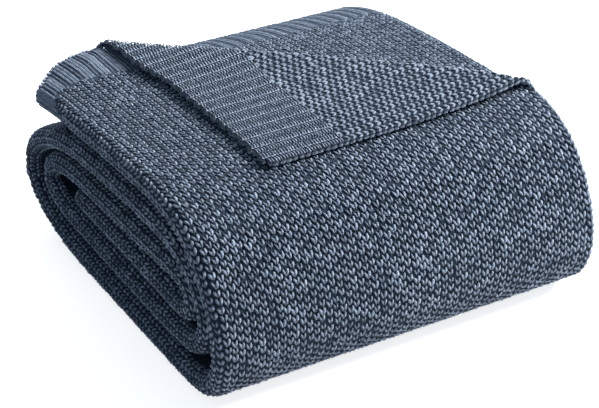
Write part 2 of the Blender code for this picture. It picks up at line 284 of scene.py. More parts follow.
class Roll:
    """The middle line of the strip in the upright plane, by the distance run along it."""

    def __init__(self):
        self.path, self.run = roll_path()
        tangent = np.gradient(self.path, axis=0)
        tangent /= np.linalg.norm(tangent, axis=1)[:, None]
        self.outward = np.stack([tangent[:, 1], -tangent[:, 0]], axis=1)
        self.heading = np.unwrap(np.arctan2(tangent[:, 1], tangent[:, 0]))
        self.length = self.run[-1]

    def at(self, s, level):
        """Points of the upright plane at distances s along the roll, at levels in the strip."""
        y, z = (np.interp(s, self.run, self.path[:, axis]) for axis in (0, 1))
        out_y, out_z = (np.interp(s, self.run, self.outward[:, axis]) for axis in (0, 1))
        size = np.hypot(out_y, out_z)
        return y + level * out_y / size, z + level * out_z / size

    def rows(self, start, run_pitch, turn):
        """Row places from start on: close together on the turns, wider apart on the runs."""
        bend = np.abs(np.gradient(self.heading, self.run)) / turn
        density = np.where(self.run > start, np.maximum(bend, 1 / run_pitch), 0)
        steps = 0.5 * (density[1:] + density[:-1]) * np.diff(self.run)
        measure = np.concatenate([[0], np.cumsum(steps)])
        wanted = np.linspace(0, measure[-1], int(math.ceil(measure[-1])) + 1)
        kept = np.searchsorted(self.run, start)
        return np.interp(wanted, measure[kept:], self.run[kept:])


class Section:
    """The plies as one path across the width: u to x and level, with the cloth's end."""

    FLAT_STEPS = 8
    TURN_STEPS = 24

    def __init__(self, sizes):
        pitch = sizes.ply_pitch
        self.span = sizes.strip_width
        right = self.span / 2
        left_x = -right + 1.5 * pitch
        right_x = right - sizes.right_inset - pitch
        self.points = []
        self.reach = {}
        top, bottom, second, third = PLIES.values()
        self.flat("top", pitch, right, left_x)
        self.turn("left fold", left_x, 0, 1.5 * pitch, 90, top.left_end, bottom.left_end)
        self.flat("bottom", pitch, left_x, right_x)
        self.turn("right fold", right_x, -0.5 * pitch, pitch, -90, bottom.right_end,
                  second.right_end)
        self.flat("second", pitch, right_x, left_x)
        self.turn("inner fold", left_x, 0, 0.5 * pitch, 90, second.left_end, third.left_end)
        self.flat("third", pitch, left_x, right_x - sizes.inner_inset)
        self.x, self.level, self.end = np.array(self.points).T
        run = np.cumsum(np.hypot(np.diff(self.x), np.diff(self.level)))
        self.u = np.concatenate([[0], run])
        self.width = self.u[-1]
        self.reach = {name: (self.u[a], self.u[b]) for name, (a, b) in self.reach.items()}

    def flat(self, name, pitch, start, stop):
        """Points along a ply, whose end is square but for its left part."""
        first = len(self.points)
        ply = PLIES[name]
        for x in np.linspace(start, stop, self.FLAT_STEPS + 1):
            part = min(1, max(0, (x + self.span / 2) / (self.span * ply.slant)))
            end = ply.left_end + part * (ply.right_end - ply.left_end)
            self.points.append((x, ply.level * pitch, end))
        self.reach[name] = (first, len(self.points) - 1)

    def turn(self, name, x, level, radius, start, end_from, end_to):
        """Points round a fold, its first and last ones left to the plies that it joins."""
        first = len(self.points) - 1
        for step in range(1, self.TURN_STEPS):
            part = step / self.TURN_STEPS
            angle = math.radians(start + part * 180)
            end = end_from + part * (end_to - end_from)
            self.points.append((x + radius * math.cos(angle), level + radius * math.sin(angle), end))
        self.reach[name] = (first, len(self.points))


class Corner:
    """The turned-back corner, worked out in the plan of the top ply."""

    def __init__(self, sizes):
        self.sizes = sizes

    def place(self, x, y):
        """Distance beyond the crease, and distance along it from the apex."""
        beyond = (x + y - self.sizes.crease_sum) / ROOT2
        along = (x - y - 2 * self.sizes.apex_x + self.sizes.crease_sum) / ROOT2
        return beyond, along

    def radius(self, along):
        spread = self.sizes.apex_radius - self.sizes.crease_radius
        return self.sizes.crease_radius + spread * np.exp(-np.maximum(along, 0) / self.sizes.apex_fade)

    def fold(self, x, y):
        """Plan position and rise over the top ply of points of the flat top ply."""
        beyond, along = self.place(x, y)
        radius = self.radius(along)
        half_turn = math.pi * radius
        angle = np.clip(beyond / radius, 0, math.pi)
        rest = self.sizes.flap_rest
        turned = beyond > half_turn
        past = np.minimum(half_turn - beyond, 0)
        settle = np.exp(past / self.sizes.flap_settle)
        give = self.sizes.flap_give * (1 - np.exp(past / self.sizes.flap_give_fade))
        rolled = np.where(beyond > 0, radius * np.sin(angle), beyond)
        shift = np.where(turned, past - give, rolled)
        rise = np.where(turned, rest + (2 * radius - rest) * settle, radius * (1 - np.cos(angle)))
        x = x + (shift - beyond) / ROOT2
        y = y + (shift - beyond) / ROOT2
        return x, y, rise + self.tent(x, y)

    def tent(self, x, y):
        """How high the cloth stands at points of the plan, with its corner turned back."""
        beyond, along = self.place(x, y)
        across = np.exp(-((beyond / self.sizes.tent_width) ** 2))
        down = np.exp(-np.maximum(0, along) / self.sizes.tent_fade)
        left = -self.sizes.strip_width / 2 + 1.5 * self.sizes.ply_pitch
        part = np.clip((x - left) / self.sizes.tent_start, 0, 1)
        part = self.sizes.tent_left + (1 - self.sizes.tent_left) * part * part * (3 - 2 * part)
        return self.sizes.tent_height * across * down * part


class Cloth:
    """The folded cloth: carries points (u, s, height) of the flat cloth into space."""

    def __init__(self):
        sizes = folds()
        self.sizes = sizes
        self.roll = Roll()
        self.section = Section(sizes)
        self.corner = Corner(sizes)
        self.start = STATIONS[0].y
        self.top_width = self.section.reach["top"][1]
        self.shift = np.zeros(3)
        self.seat()

    def seat(self):
        """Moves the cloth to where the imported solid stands."""
        u, s = np.meshgrid(np.linspace(0, self.section.width, SEAT_POINTS),
                           np.linspace(0, SEATED, SEAT_POINTS))
        s = self.end(u) + s
        points = self.surface(u.ravel(), s.ravel())
        low, high = (np.array(corner[:]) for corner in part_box(NODE))
        middle = (points.max(axis=0) + points.min(axis=0)) / 2
        self.shift = (low + high) / 2 - middle
        self.shift[2] = low[2] + self.sizes.solid_thickness / 2 - points[:, 2].min()

    def end(self, u):
        """Distance along the roll at which the cloth's outer end lies."""
        top = self.along_top_end(u, [point.y for point in TOP_END])
        ribs = 2 * math.pi * knit().top_ribs / self.sizes.strip_width
        top = top - self.sizes.scallop * np.cos(ribs * u)
        lower = np.interp(u, self.section.u, self.section.end)
        return self.start - np.where(u < self.top_width, top, lower)

    def border(self, u):
        """Depth of the ribbed border."""
        top = self.along_top_end(u, [point.border for point in TOP_END])
        fold = self.section.reach["left fold"]
        lower = np.interp(u, fold, (TOP_END[0].border, self.sizes.rib_border))
        return np.where(u < self.top_width, top, lower)

    def along_top_end(self, u, values):
        return np.interp(self.sizes.strip_width / 2 - u, [point.x for point in TOP_END], values)

    def surface(self, u, s):
        """Points of the cloth's middle surface."""
        x = np.interp(u, self.section.u, self.section.x)
        level = np.interp(u, self.section.u, self.section.level)
        fold_x, fold_y, rise = self.corner.fold(x, self.start - s)
        on_top = u < self.top_width
        left = self.section.reach["left fold"]
        round_fold = np.clip((left[1] - u) / (left[1] - left[0]), 0, 1)
        left_x = 1.5 * self.sizes.ply_pitch - self.sizes.strip_width / 2
        lifted = round_fold * round_fold * self.corner.tent(left_x, self.start - s)
        x = np.where(on_top, fold_x, x)
        level = level + np.where(on_top, rise, lifted)
        s = np.where(on_top, self.start - fold_y, s)
        y, z = self.roll.at(s, level)
        right = self.sizes.strip_width / 2
        drawn_in = 1 - self.sizes.roll_inset / self.sizes.strip_width * s / self.roll.length
        return np.stack([right + (x - right) * drawn_in, y, z], axis=-1) + self.shift

    def place(self, u, s, height):
        """Points at a height over the middle surface; the right side of the cloth is up."""
        points = self.surface(u, s)
        along_u = self.surface(u + STEP, s) - self.surface(u - STEP, s)
        along_s = self.surface(u, s + STEP) - self.surface(u, s - STEP)
        normal = np.cross(along_u, along_s)
        normal /= np.linalg.norm(normal, axis=-1, keepdims=True)
        points = points + normal * height[..., None]
        points[..., 2] = np.maximum(points[..., 2], FLOOR_CLEAR)
        return points

    def plan(self, u, s):
        """x and y in the plan of the flat top ply."""
        return np.interp(u, self.section.u, self.section.x), self.start - s


def new_mesh(name, vertices, faces, uv, lift, tone):
    """Mesh object from arrays: faces of 3 or 4 corners each, and values for every vertex.

    The UV map "yarn" holds the distance along the yarn and the way round it, or for a sheet
    its own flat coordinates.
    """
    mesh = bpy.data.meshes.new(name)
    corners = faces.shape[1]
    mesh.vertices.add(len(vertices))
    mesh.vertices.foreach_set("co", vertices.astype(np.float32).ravel())
    mesh.loops.add(faces.size)
    mesh.loops.foreach_set("vertex_index", faces.astype(np.int32).ravel())
    mesh.polygons.add(len(faces))
    mesh.polygons.foreach_set("loop_start", np.arange(0, faces.size, corners, dtype=np.int32))
    mesh.update(calc_edges=True)
    layer = mesh.uv_layers.new(name="yarn")
    layer.data.foreach_set("uv", uv[faces.ravel()].astype(np.float32).ravel())
    # lift is each vertex's height over the cloth's middle surface, from which the yarn's colour is
    # darkened as painted shade; tone is a random tone for each stitch
    for label, values in (("lift", lift), ("tone", tone)):
        attribute = mesh.attributes.new(label, "FLOAT", "POINT")
        attribute.data.foreach_set("value", values.astype(np.float32))
    mesh.validate()
    mesh.shade_smooth()
    thing = bpy.data.objects.new(name, mesh)
    bpy.context.scene.collection.objects.link(thing)
    return thing


class Strand:
    """A short closed length of yarn along a curve, in a stitch's own flat coordinates.

    a runs to the right, b up the column towards the outer end, h out of the cloth. Both ends
    taper to a point, and the seam of its UV map lies underneath. With a head, it is thicker
    by that share where it starts.
    """

    RINGS = 3
    FIRST_RING = 0.14        # place of the first ring, as a share of the length
    NARROWING = 0.25         # of the rings, from the middle to the ends

    def __init__(self, path, radius, sides=5, head=0.0):
        path = np.array(path, dtype=float)
        knots = np.linspace(0, 1, len(path))
        rings = np.linspace(self.FIRST_RING, 1 - self.FIRST_RING, self.RINGS)
        places = np.concatenate([[0], rings, [1]])
        middle = np.stack([self.curve(knots, path[:, axis], places) for axis in range(3)], axis=1)
        tangent = np.gradient(middle, axis=0)
        tangent /= np.linalg.norm(tangent, axis=1)[:, None]
        side = np.cross(tangent, (0, 0, 1))
        side /= np.linalg.norm(side, axis=1)[:, None]
        out = np.cross(side, tangent)
        vertices = [middle[0]]
        uv = [(0, 0.5)]
        for k in range(1, self.RINGS + 1):
            size = radius * (1 - self.NARROWING * (2 * places[k] - 1) ** 2 * 2)
            size *= 1 + head * (1 - 2 * places[k])
            for step in range(sides):
                turn = (step + 0.5) / sides
                angle = -2 * math.pi * turn - math.pi / 2
                spoke = math.cos(angle) * side[k] + math.sin(angle) * out[k]
                vertices.append(middle[k] + size * spoke)
                uv.append((places[k], turn))
        vertices.append(middle[-1])
        uv.append((1, 0.5))
        self.vertices = np.array(vertices)
        self.uv = np.array(uv)
        self.faces = self.skin(self.RINGS, sides)

    @staticmethod
    def curve(knots, values, places):
        """Smooth curve through a few values: a polynomial of the least degree that fits."""
        return np.polyval(np.polyfit(knots, values, len(knots) - 1), places)

    @staticmethod
    def skin(rings, sides):
        """Triangles of a tube: its first point, its rings in turn, and its last point."""
        faces = []
        last = rings * sides + 1
        for step in range(sides):
            after = (step + 1) % sides
            faces.append((0, 1 + after, 1 + step))
            for ring in range(rings - 1):
                low = 1 + ring * sides
                high = low + sides
                faces.append((low + step, low + after, high + after))
                faces.append((low + step, high + after, high + step))
            low = 1 + (rings - 1) * sides
            faces.append((low + step, low + after, last))
        return np.array(faces)


STRAY = 0.004                # a stitch strays from its place by a share of this
RUN_SIDES = 6


class Stitches:
    """Gathers strands laid out on the flat cloth, and folds them into one joined mesh."""

    def __init__(self, cloth, seed):
        self.cloth = cloth
        self.random = np.random.default_rng(seed)
        self.parts = []
        self.count = 0

    def add(self, *part):
        """Keeps points, faces, UV places, heights and tones for the joined mesh."""
        points, faces, *values = part
        self.parts.append((points, faces + self.count, *values))
        self.count += len(points)

    def lay(self, strands, u, s, side=1, width=1.0, height=1.0, slack=None, lumps=1):
        """Lays the strands at each place (u, s); side is -1 on the reverse of the cloth."""
        if len(u) == 0:
            return
        stray = knit().jitter if slack is None else slack
        count = len(u)
        tone = self.random.random(count)
        shift_a = self.random.normal(0, stray, count) * STRAY
        shift_b = self.random.normal(0, stray, count) * STRAY
        scale = 1 + self.random.normal(0, stray, count)
        for strand in strands:
            a = strand.vertices[None, :, 0] * (width * scale)[:, None] + shift_a[:, None]
            b = strand.vertices[None, :, 1] * (height * scale)[:, None] + shift_b[:, None]
            h = strand.vertices[None, :, 2] * scale[:, None]
            stray_a, stray_b, stray_h = self.random.normal(0, lumps * knit().lumps, (3,) + h.shape)
            a = a + stray_a
            b = b + stray_b
            h = h + stray_h
            places_u = np.clip(u[:, None] - side * a, 0, self.cloth.section.width)
            places_s = s[:, None] - b
            points = self.cloth.place(places_u.ravel(), places_s.ravel(), (side * h).ravel())
            per = len(strand.vertices)
            faces = strand.faces[None] + (per * np.arange(count))[:, None, None]
            self.add(points, faces.reshape(-1, 3), np.tile(strand.uv, (count, 1)), h.ravel(),
                     np.repeat(tone, per))

    def run(self, u, s, half_width, half_height, rise):
        """Lays one long strand of oval section along (u, s), swelling with every course."""
        count = len(s)
        sides = RUN_SIDES
        nearest = np.minimum(np.arange(count), np.arange(count)[::-1])
        taper = np.minimum(1, (nearest + 0.4) / 3)
        phase = 2 * math.pi * s / knit().course_pitch + self.random.random() * 6
        taper = (taper * (1 + 0.13 * np.sin(phase) + self.random.normal(0, 0.03, count)))[:, None]
        turn = 2 * math.pi * (np.arange(sides) + 0.5) / sides - math.pi / 2
        across = taper * half_width * np.cos(turn)
        height = taper * (rise + half_height * np.sin(turn))
        along = np.repeat(s[:, None], sides, axis=1)
        points = self.cloth.place((u[:, None] - across).ravel(), along.ravel(), height.ravel())
        poles = self.cloth.place(u[[0, -1]], s[[0, -1]], np.full(2, rise * 0.1))
        points = np.vstack([poles[:1], points, poles[1:]])
        uv = np.stack([along.ravel(), across.ravel()], axis=1)
        uv = np.vstack([[[s[0], 0]], uv, [[s[-1], 0]]])
        lift = np.concatenate([[0], height.ravel(), [0]])
        tone = np.full(len(points), self.random.random())
        self.add(points, Strand.skin(count, sides), uv, lift, tone)

    def make(self, name):
        if not self.parts:
            raise ValueError(name + " has no stitches")
        return new_mesh(name, *(np.concatenate(values) for values in zip(*self.parts)))


BORDER_GAP = 0.001           # from the ribbed border to the first stitch


class Lattice:
    """Places of the moss stitches: columns along s, each a half stitch off its neighbours."""

    def __init__(self, columns, widths, pitch):
        self.columns = columns
        self.widths = widths
        self.pitch = pitch

    def places(self, cloth, first, last, keep=None, half=0):
        """u, s and column width of each stitch that lies between two distances along s."""
        count = int((last - first) / self.pitch) + 2
        steps = np.arange(count)
        found = []
        for k, (u, width) in enumerate(zip(self.columns, self.widths)):
            s = first + (steps + 0.5 * ((k + half) % 2)) * self.pitch
            start = float(cloth.end(u) + cloth.border(u))
            s = s[(s > start + BORDER_GAP) & (s < last)]
            found.append(np.stack([np.full(len(s), u), s, np.full(len(s), width)], axis=1))
        u, s, width = np.concatenate(found).T
        if keep is not None:
            chosen = keep(u, s)
            u, s, width = u[chosen], s[chosen], width[chosen]
        return u, s, width


def top_lattice(cloth):
    """Columns of the top ply and of the fold at its left, closer together to the left."""
    sizes = knit()
    total = cloth.section.reach["left fold"][1] + 0.003
    widths = []
    columns = []
    u = sizes.column_right / 2
    while u < total:
        part = min(1, u / cloth.sizes.strip_width)
        width = sizes.column_right + part * (sizes.column_left - sizes.column_right)
        columns.append(u)
        widths.append(width)
        u += width
    return Lattice(columns, widths, sizes.stitch_pitch)


def even_lattice(first, last, pitch):
    """Evenly spaced columns between two values of u."""
    count = max(1, round((last - first) / pitch))
    width = (last - first) / count
    columns = first + (np.arange(count) + 0.5) * width
    return Lattice(columns, np.full(count, width), knit().stitch_pitch)


COLUMN = 0.0054              # column width and stitch length that the stitch is drawn for
STITCH = 0.0051


def moss_stitch():
    """The two legs of a stitch: they meet at its foot, and the right one stands steeper."""
    sizes = knit()
    high = sizes.leg_height
    left = [(-0.45 * COLUMN, 0.44 * STITCH, 0.35 * high),
            (-0.33 * COLUMN, 0.20 * STITCH, 1.00 * high),
            (-0.14 * COLUMN, -0.16 * STITCH, 1.05 * high),
            (0.00 * COLUMN, -0.46 * STITCH, 0.25 * high)]
    right = [(0.26 * COLUMN, 0.46 * STITCH, 0.45 * high),
             (0.23 * COLUMN, 0.22 * STITCH, 1.15 * high),
             (0.13 * COLUMN, -0.14 * STITCH, 1.15 * high),
             (0.05 * COLUMN, -0.44 * STITCH, 0.30 * high)]
    return [Strand(left, sizes.leg_radius * 0.92, head=0.10),
            Strand(right, sizes.leg_radius * 1.06, head=0.22)]


def lay_moss(work, places, side=1):
    u, s, width = places
    stretch = width / COLUMN
    work.lay(moss_stitch(), u, s, side=side, width=stretch, height=knit().stitch_pitch / STITCH)


# Pitches of the sheet's columns of points: close on the folds and where the sheet shows
SHEET_PITCHES = {"top": 0.0045, "left fold": 0.0016, "bottom": 0.012, "right fold": 0.0016,
                 "second": 0.007, "inner fold": 0.0016, "third": 0.012}
# Its rows set out along the cloth's end, and are square with the roll from here on
SQUARE_FROM = 0.3
NEAR_PITCH = 0.0046
FAR_PITCH = 0.014
FAR_TURN = math.radians(12)


def sheet_columns(cloth):
    columns = [0.0]
    for name, (_, last) in cloth.section.reach.items():
        count = max(2, int(math.ceil((last - columns[-1]) / SHEET_PITCHES[name])))
        columns += list(np.linspace(columns[-1], last, count + 1)[1:])
    return np.array(columns)


def sheet_rows(cloth):
    near = np.arange(0, SQUARE_FROM, NEAR_PITCH)
    return np.concatenate([near, cloth.roll.rows(SQUARE_FROM, FAR_PITCH, FAR_TURN)])


def closed_sheet(cloth, thickness):
    """Points and faces of the cloth's sheet, both of its sides and its rim."""
    columns = sheet_columns(cloth)
    rows = sheet_rows(cloth)
    u, t = np.meshgrid(columns, rows)
    s = t + cloth.end(u) * np.maximum(0, 1 - t / SQUARE_FROM)
    s = np.minimum(s, cloth.roll.length)
    flat = np.stack([u.ravel(), s.ravel()], axis=1)
    half = np.full(len(flat), thickness / 2)
    upper = cloth.place(flat[:, 0], flat[:, 1], half)
    lower = cloth.place(flat[:, 0], flat[:, 1], -half)
    across = len(columns)
    index = np.arange(len(flat)).reshape(len(rows), across)
    corner = index[:-1, :-1].ravel()
    quads = np.stack([corner, corner + across, corner + across + 1, corner + 1], axis=1)
    rim = np.concatenate([index[0, :-1], index[:-1, -1], index[-1, :0:-1], index[:0:-1, 0]])
    after = np.roll(rim, -1)
    count = len(flat)
    edge = np.stack([rim, after, after + count, rim + count], axis=1)
    faces = np.concatenate([quads[:, ::-1], quads + count, edge[:, ::-1]])
    return np.vstack([upper, lower]), faces, np.vstack([flat, flat])


def node(tree, kind, **values):
    """A shader node: each value is a setting, an input's value, or a socket linked to it."""
    made = tree.nodes.new(kind)
    for name, value in values.items():
        label = name.replace("_", " ")
        if isinstance(value, bpy.types.NodeSocket):
            tree.links.new(value, made.inputs[label])
        elif label in made.inputs:
            made.inputs[label].default_value = value
        else:
            setattr(made, name, value)
    return made


def math_node(tree, operation, first, second=None, third=None, clamp=False):
    made = tree.nodes.new("ShaderNodeMath")
    made.operation = operation
    made.use_clamp = clamp
    for k, value in enumerate((first, second, third)):
        if value is None:
            continue
        if isinstance(value, (int, float)):
            made.inputs[k].default_value = value
        else:
            tree.links.new(value, made.inputs[k])
    return made.outputs[0]


def mix_colours(tree, factor, first, second):
    made = node(tree, "ShaderNodeMix", data_type="RGBA")
    for k, value in ((0, factor), (6, first), (7, second)):
        tree.links.new(value, made.inputs[k])
    return made.outputs[2]


def noise(tree, vector, scale, detail, roughness=0.55):
    return node(tree, "ShaderNodeTexNoise", Vector=vector, Scale=scale, Detail=detail,
                Roughness=roughness).outputs["Fac"]


def flat_place(tree):
    """The two parts of the UV map that each mesh has."""
    place = node(tree, "ShaderNodeUVMap", uv_map="yarn").outputs["UV"]
    return node(tree, "ShaderNodeSeparateXYZ", Vector=place).outputs[:2]


def new_group(name, inputs, outputs):
    """A shader node group with its named sockets, and its two end nodes."""
    tree = bpy.data.node_groups.new(name, "ShaderNodeTree")
    for label, kind, value in inputs:
        socket = tree.interface.new_socket(label, in_out="INPUT", socket_type=kind)
        socket.default_value = value
    for label, kind in outputs:
        tree.interface.new_socket(label, in_out="OUTPUT", socket_type=kind)
    return tree, tree.nodes.new("NodeGroupInput"), tree.nodes.new("NodeGroupOutput")


def heathered_yarn():
    """Colour of spun yarn: pale fibres over slate, with a random tone of its own for each stitch, and
    painted shade that darkens it towards deep navy low in the knit's hollows and in the grooves of its
    relief.
    """
    found = bpy.data.node_groups.get("Heathered yarn")
    if found:
        return found
    colours = bpy.context.scene.blanket_yarn
    tree, source, result = new_group(
        "Heathered yarn",
        (("Deep", "NodeSocketColor", (*colours.painted_shade, 1)),
         ("Slate", "NodeSocketColor", (*colours.slate, 1)),
         ("Pale", "NodeSocketColor", (*colours.pale, 1)),
         ("Paleness", "NodeSocketFloat", 0.5),
         ("Hollow Height", "NodeSocketFloat", 0.0004),
         ("Crown Height", "NodeSocketFloat", 0.0016),
         ("Relief", "NodeSocketFloat", 1.0)),
        (("Color", "NodeSocketColor"), ("Fibre", "NodeSocketFloat")))
    place = node(tree, "ShaderNodeTexCoord").outputs["Object"]
    tone = node(tree, "ShaderNodeAttribute", attribute_name="tone").outputs["Fac"]
    lift = node(tree, "ShaderNodeAttribute", attribute_name="lift").outputs["Fac"]
    fibre = noise(tree, place, 1500, 3, 0.7)
    strand = noise(tree, place, 420, 2)
    patch = noise(tree, place, 14, 2)
    pale = math_node(tree, "MULTIPLY_ADD", fibre, 1.9, -0.95)
    pale = math_node(tree, "MULTIPLY_ADD", math_node(tree, "SUBTRACT", strand, 0.5), 0.9, pale)
    pale = math_node(tree, "MULTIPLY_ADD", math_node(tree, "SUBTRACT", tone, 0.5), 0.28, pale)
    pale = math_node(tree, "MULTIPLY_ADD", math_node(tree, "SUBTRACT", patch, 0.5), 0.25, pale)
    pale = math_node(tree, "ADD", pale, source.outputs["Paleness"], clamp=True)
    yarn = mix_colours(tree, pale, source.outputs["Slate"], source.outputs["Pale"])
    # Painted shade: the yarn is mixed towards deep navy where its lift is below Crown Height, fully
    # below Hollow Height, and more where Relief is low in the grooves
    reach = node(tree, "ShaderNodeMapRange", interpolation_type="SMOOTHSTEP", Value=lift,
                 From_Min=source.outputs["Hollow Height"], From_Max=source.outputs["Crown Height"])
    groove = math_node(tree, "ADD", source.outputs["Relief"], 0.25, clamp=True)
    open_to_light = math_node(tree, "MULTIPLY", reach.outputs[0], groove)
    colour_out = mix_colours(tree, open_to_light, source.outputs["Deep"], yarn)
    tree.links.new(colour_out, result.inputs["Color"])
    tree.links.new(fibre, result.inputs["Fibre"])
    return tree


def yarn_twist():
    """Height of the plies that are twisted round the yarn, from the map along and round it."""
    found = bpy.data.node_groups.get("Yarn twist")
    if found:
        return found
    tree, source, result = new_group(
        "Yarn twist",
        (("Plies", "NodeSocketFloat", 3.0), ("Turns", "NodeSocketFloat", 2.2)),
        (("Height", "NodeSocketFloat"),))
    along, around = flat_place(tree)
    along = math_node(tree, "MULTIPLY", along, source.outputs["Turns"])
    around = math_node(tree, "MULTIPLY", around, source.outputs["Plies"])
    phase = math_node(tree, "ADD", along, around)
    wave = math_node(tree, "SINE", math_node(tree, "MULTIPLY", phase, 2 * math.pi))
    height = math_node(tree, "ABSOLUTE", wave)
    tree.links.new(height, result.inputs["Height"])
    return tree


def knit_chevrons():
    """Height of plain knit: columns of small chevrons, from the cloth's own coordinates."""
    found = bpy.data.node_groups.get("Knit chevrons")
    if found:
        return found
    tree, source, result = new_group(
        "Knit chevrons",
        (("Column Width", "NodeSocketFloat", 0.0019), ("Course", "NodeSocketFloat", 0.00185)),
        (("Height", "NodeSocketFloat"),))
    along, across = flat_place(tree)
    column = math_node(tree, "DIVIDE", across, source.outputs["Column Width"])
    column = math_node(tree, "SUBTRACT", math_node(tree, "FRACT", column), 0.5)
    side = math_node(tree, "ABSOLUTE", column)
    course = math_node(tree, "DIVIDE", along, source.outputs["Course"])
    phase = math_node(tree, "MULTIPLY_ADD", side, -1.3, course)
    leg = math_node(tree, "SINE", math_node(tree, "MULTIPLY", phase, 2 * math.pi))
    leg = math_node(tree, "MULTIPLY_ADD", leg, 0.5, 0.5)
    bulge = math_node(tree, "SUBTRACT", side, 0.27)
    bulge = math_node(tree, "MULTIPLY", bulge, bulge)
    bulge = math_node(tree, "MULTIPLY_ADD", bulge, -13.0, 1.0, clamp=True)
    tree.links.new(math_node(tree, "MULTIPLY", leg, bulge), result.inputs["Height"])
    return tree


def ladder_holes():
    """Where the ground is open between the rungs of the ribs: 1 on cloth, 0 in a hole."""
    found = bpy.data.node_groups.get("Ladder holes")
    if found:
        return found
    tree, source, result = new_group(
        "Ladder holes",
        (("Rib Pitch", "NodeSocketFloat", 0.01275), ("Course", "NodeSocketFloat", 0.0026)),
        (("Alpha", "NodeSocketFloat"),))
    across, along = flat_place(tree)
    border = node(tree, "ShaderNodeAttribute", attribute_name="border").outputs["Fac"]
    across = math_node(tree, "DIVIDE", across, source.outputs["Rib Pitch"])
    across = math_node(tree, "SUBTRACT", math_node(tree, "FRACT", across), 0.5)
    across = math_node(tree, "SUBTRACT", math_node(tree, "ABSOLUTE", across), 0.115)
    groove = math_node(tree, "LESS_THAN", math_node(tree, "ABSOLUTE", across), 0.050)
    along = math_node(tree, "DIVIDE", along, source.outputs["Course"])
    between = math_node(tree, "LESS_THAN", math_node(tree, "FRACT", along), 0.55)
    hole = math_node(tree, "MULTIPLY", groove, between)
    hole = math_node(tree, "MULTIPLY", hole, math_node(tree, "GREATER_THAN", border, 0.5))
    tree.links.new(math_node(tree, "SUBTRACT", 1.0, hole), result.inputs["Alpha"])
    return tree


def place_group(tree, group, **values):
    return node(tree, "ShaderNodeGroup", node_tree=group, **values)


def yarn_material(name, paleness, hollow, crown, relief, twist=None, chevrons=None):
    """A knitted finish: heathered colour with painted shade, darkest below the hollow height and in
    the grooves of the yarn's twist or small chevrons, which also serve as bump.
    """
    found = bpy.data.materials.get(name)
    if found:
        return found
    colours = bpy.context.scene.blanket_yarn
    material = bpy.data.materials.new(name)
    material.use_nodes = True
    tree = material.node_tree
    shader = tree.nodes["Principled BSDF"]
    shader.inputs["Roughness"].default_value = colours.roughness
    shader.inputs["Sheen Weight"].default_value = colours.sheen
    shader.inputs["Sheen Roughness"].default_value = 0.45
    shader.inputs["Sheen Tint"].default_value = (*colours.pale, 1)
    shader.inputs["Specular IOR Level"].default_value = 0.25
    if twist:
        weight = 1.0
        form = place_group(tree, yarn_twist(), Turns=twist)
    else:
        weight = 1.4
        form = place_group(tree, knit_chevrons(), Column_Width=chevrons)
    yarn = place_group(tree, heathered_yarn(), Paleness=paleness, Hollow_Height=hollow,
                       Crown_Height=crown, Relief=form.outputs["Height"])
    height = math_node(tree, "MULTIPLY", yarn.outputs["Fibre"], 0.5)
    height = math_node(tree, "MULTIPLY_ADD", form.outputs["Height"], weight, height)
    bump = node(tree, "ShaderNodeBump", Strength=1.0, Distance=relief, Height=height)
    tree.links.new(bump.outputs["Normal"], shader.inputs["Normal"])
    tree.links.new(yarn.outputs["Color"], shader.inputs["Base Color"])
    return material


# hollow and crown: heights of the yarn between which its colour goes from painted deep navy shade up
# to its full heathered colour
def moss_yarn():
    return yarn_material("moss stitch yarn", 0.62, 0.0006, 0.0020, 0.00026, twist=2.2)


def rib_yarn():
    return yarn_material("ribbed border", 0.50, -0.0005, 0.0013, 0.00045, chevrons=0.0027)


def ladder_yarn():
    return yarn_material("reverse of the ribs", 0.80, 0.0011, 0.0019, 0.00010, twist=1.5)


def edge_yarn():
    return yarn_material("edge stitches", 0.66, -0.0016, 0.0010, 0.00022, twist=1.5)


# The ground of the knit is painted shade: with no lift on the sheet it comes out about nine tenths
# deep navy, standing in for the shade in the gaps between the stitches
def painted_shade_ground_yarn():
    found = bpy.data.materials.get("ground of the knit")
    if found:
        return found
    material = yarn_material("ground of the knit", 0.10, -1.0, 4.0, 0.00030, chevrons=0.0026)
    tree = material.node_tree
    holes = place_group(tree, ladder_holes(),
                        Rib_Pitch=folds().strip_width / knit().top_ribs)
    tree.links.new(holes.outputs["Alpha"], tree.nodes["Principled BSDF"].inputs["Alpha"])
    return material


def fit(piece, material):
    """Gives a piece its finish, and has it ride on the part's one body."""
    piece.data.materials.append(material)
    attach(piece, BODY)


# Reach of the open stitches beside the left point of the turned-back corner
OPEN_ACROSS = (0.226, 0.264)
OPEN_DEPTH = (0.003, 0.019)


class BLANKET_OT_sheet(bpy.types.Operator):
    """Make the thin sheet of cloth that lies in the solid's folds."""

    bl_idname = "blanket.sheet"
    bl_label = "Sheet"

    def execute(self, context):
        cloth = Cloth()
        points, faces, flat = closed_sheet(cloth, knit().sheet_thickness)
        sheet = new_mesh("blanket_sheet", points, faces, flat, np.zeros(len(points)),
                         np.full(len(points), 0.5))
        u, s = flat.T
        depth = s - cloth.end(u)
        inside = (u > OPEN_ACROSS[0]) & (u < OPEN_ACROSS[1])
        inside &= (depth > OPEN_DEPTH[0]) & (depth < OPEN_DEPTH[1])
        border = sheet.data.attributes.new("border", "FLOAT", "POINT")
        border.data.foreach_set("value", inside.astype(np.float32))
        fit(sheet, painted_shade_ground_yarn())
        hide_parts(NODE)
        return {"FINISHED"}


# Distances along the cloth between which the patches of moss stitch lie
TOP_REACH = (0, 0.2925)
FRONT_REACH = (0.2925, 0.470)
BACK_REACH = (0.640, 0.860)
SECOND_REACH = (0, 0.25)
INNER_GAP = 0.004            # from the last stitches to the inner end
OVERLAP = 0.002              # of two patches
FOLD_COLUMN = 0.0050
SECOND_COLUMN = 0.0053
UNDER_CREASE = 0.012         # how far the second ply's stitches reach under the crease


